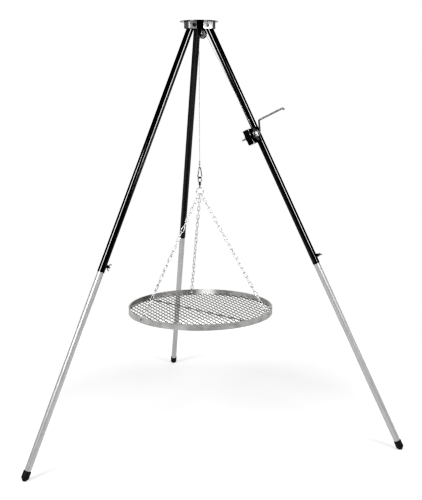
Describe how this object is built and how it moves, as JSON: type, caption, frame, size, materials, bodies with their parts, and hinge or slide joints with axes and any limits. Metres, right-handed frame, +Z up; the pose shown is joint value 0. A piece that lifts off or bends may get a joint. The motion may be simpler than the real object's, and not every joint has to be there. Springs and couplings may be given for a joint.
{
  "type": "campfire tripod with hanging grate",
  "caption": "Free-standing telescopic tripod with a crank winch and pulley that raise a round hanging grill grate on a steel cable and chains.",
  "frame": {"origin": "on the ground under the hanging cable, in the middle of the three feet", "axes": "+Z up; the winch leg stands over +X, the rear leg at 120 degrees and the front leg at 240 degrees about +Z"},
  "size_m": [1.2879, 1.4824, 1.6715],
  "materials": {
    "black_coat": "gloss black powder coat",
    "winch_black": "satin black paint",
    "bright_zinc": "bright galvanised sheet",
    "bolt_zinc": "bright zinc plate",
    "crank_zinc": "zinc plate, dull",
    "hook_steel": "dark polished steel",
    "ring_zinc": "zinc plate",
    "hub_zinc": "bright zinc plate",
    "chain_zinc": "galvanised",
    "grey_tube": "satin galvanised tube",
    "black_plastic": "moulded plastic",
    "cable_steel": "stranded wire",
    "ferrule_alu": "crimped",
    "sheave_grey": "grey moulded wheel",
    "grate_steel": "stainless flat bar, satin",
    "mesh_steel": "expanded metal, satin"
  },
  "bodies": {
    "head": {"head_plate": "black_coat", "leg_bracket_winch": "bright_zinc", "leg_bracket_rear": "bright_zinc", "leg_bracket_front": "bright_zinc", "hinge_bolts": "bolt_zinc", "hinge_nuts": "bolt_zinc", "pulley_cheek_left": "black_coat", "pulley_cheek_right": "black_coat", "pulley_pin": "black_coat", "cable_over_sheave": "cable_steel"},
    "winch_leg": {"leg_upper_winch": "black_coat", "clamp_boss_winch": "black_coat", "winch_frame": "winch_black", "brake_housing": "winch_black", "winch_side_plate": "bright_zinc", "cable_run": "cable_steel"},
    "rear_leg": {"leg_upper_rear": "black_coat", "clamp_boss_rear": "black_coat"},
    "front_leg": {"leg_upper_front": "black_coat", "clamp_boss_front": "black_coat"},
    "winch_leg_extension": {"leg_lower_winch": "grey_tube", "foot_cap_winch": "black_plastic"},
    "winch_leg_clamp": {"wing_screw_winch": "crank_zinc"},
    "rear_leg_extension": {"leg_lower_rear": "grey_tube", "foot_cap_rear": "black_plastic"},
    "rear_leg_clamp": {"wing_screw_rear": "crank_zinc"},
    "front_leg_extension": {"leg_lower_front": "grey_tube", "foot_cap_front": "black_plastic"},
    "front_leg_clamp": {"wing_screw_front": "crank_zinc"},
    "crank": {"crank_rod": "crank_zinc", "cable_drum": "winch_black", "cable_coil": "cable_steel", "hub_collar": "hub_zinc", "split_pin": "bolt_zinc", "axle_washer": "bolt_zinc"},
    "pulley_wheel": {"sheave": "sheave_grey"},
    "cable": {"cable_drop": "cable_steel"},
    "cable_end": {"cable_loop": "cable_steel", "cable_ferrules": "ferrule_alu"},
    "hook": {"snap_hook": "hook_steel", "swivel_eye": "hook_steel"},
    "hook_gate": {"snap_gate": "hook_steel"},
    "grate": {"swivel_stem": "hook_steel", "chain_ring": "ring_zinc", "chain_winch": "chain_zinc", "rim_hook_winch": "ring_zinc", "chain_rear": "chain_zinc", "rim_hook_rear": "ring_zinc", "chain_front": "chain_zinc", "rim_hook_front": "ring_zinc", "grate_rim": "grate_steel", "support_bar": "grate_steel", "grate_mesh": "mesh_steel"}
  },
  "joints": [
    {"name": "fold_winch", "type": "hinge", "parent": "head", "child": "winch_leg", "pos_m": [0.038, 0, 1.655], "axis": [0, -1, 0], "range_deg": [-8, 0], "deforming": ["cable_run"]},
    {"name": "fold_rear", "type": "hinge", "parent": "head", "child": "rear_leg", "pos_m": [-0.019, 0.03291, 1.655], "axis": [0.866, 0.5, 0], "range_deg": [-8, 0]},
    {"name": "fold_front", "type": "hinge", "parent": "head", "child": "front_leg", "pos_m": [-0.019, -0.03291, 1.655], "axis": [-0.866, 0.5, 0], "range_deg": [-8, 0]},
    {"name": "extend_winch", "type": "slide", "parent": "winch_leg", "child": "winch_leg_extension", "axis": [0.4384, 0, -0.8988], "range_m": [-0.75, 0.05]},
    {"name": "extend_rear", "type": "slide", "parent": "rear_leg", "child": "rear_leg_extension", "axis": [-0.2192, 0.3796, -0.8988], "range_m": [-0.75, 0.05]},
    {"name": "extend_front", "type": "slide", "parent": "front_leg", "child": "front_leg_extension", "axis": [-0.2192, -0.3796, -0.8988], "range_m": [-0.75, 0.05]},
    {"name": "clamp_winch", "type": "hinge", "parent": "winch_leg", "child": "winch_leg_clamp", "pos_m": [0.50333, 0, 0.76936], "axis": [0.8988, 0, 0.4384], "range_deg": [0, 360]},
    {"name": "clamp_rear", "type": "hinge", "parent": "rear_leg", "child": "rear_leg_clamp", "pos_m": [-0.25167, 0.4359, 0.76936], "axis": [-0.4494, 0.7784, 0.4384], "range_deg": [0, 360]},
    {"name": "clamp_front", "type": "hinge", "parent": "front_leg", "child": "front_leg_clamp", "pos_m": [-0.2247, -0.3892, 0.74306], "axis": [0.4494, 0.7784, -0.4384], "range_deg": [0, 360]},
    {"name": "crank_turn", "type": "hinge", "parent": "winch_leg", "child": "crank", "pos_m": [0.2436, -0.046, 1.23347], "axis": [0.8988, 0, 0.4384], "range_deg": [-1304, 1533]},
    {"name": "sheave_turn", "type": "hinge", "parent": "head", "child": "pulley_wheel", "pos_m": [0.01339, -0.00169, 1.6225], "axis": [0.1253, 0.9921, 0], "range_deg": [-1703, 1448]},
    {"name": "cable_swing", "type": "hinge", "parent": "head", "child": "cable", "pos_m": [0, 0, 1.6225], "axis": [0.866, -0.5, 0], "range_deg": [-4, 4]},
    {"name": "grate_hoist", "type": "slide", "parent": "cable", "child": "cable_end", "axis": [0, 0, 1], "range_m": [-0.4, 0.34], "deforming": ["cable_drop"]},
    {"name": "hook_swing", "type": "hinge", "parent": "cable_end", "child": "hook", "pos_m": [0, 0, 1.0965], "axis": [0.5, 0.866, 0], "range_deg": [-4, 4]},
    {"name": "gate_open", "type": "hinge", "parent": "hook", "child": "hook_gate", "pos_m": [0.00469, 0.00812, 1.06784], "axis": [0.866, -0.5, 0], "range_deg": [0, 12], "stiffness_Nm_per_rad": 0.02, "springref_deg": -17.19},
    {"name": "swivel_turn", "type": "hinge", "parent": "hook", "child": "grate", "pos_m": [0, 0, 1.03], "axis": [0, 0, 1], "continuous": true}
  ],
  "couplings": [
    {"joint": "crank_turn", "follows": "grate_hoist", "rad_per_m": -66.667},
    {"joint": "sheave_turn", "follows": "grate_hoist", "rad_per_m": 74.074}
  ]
}
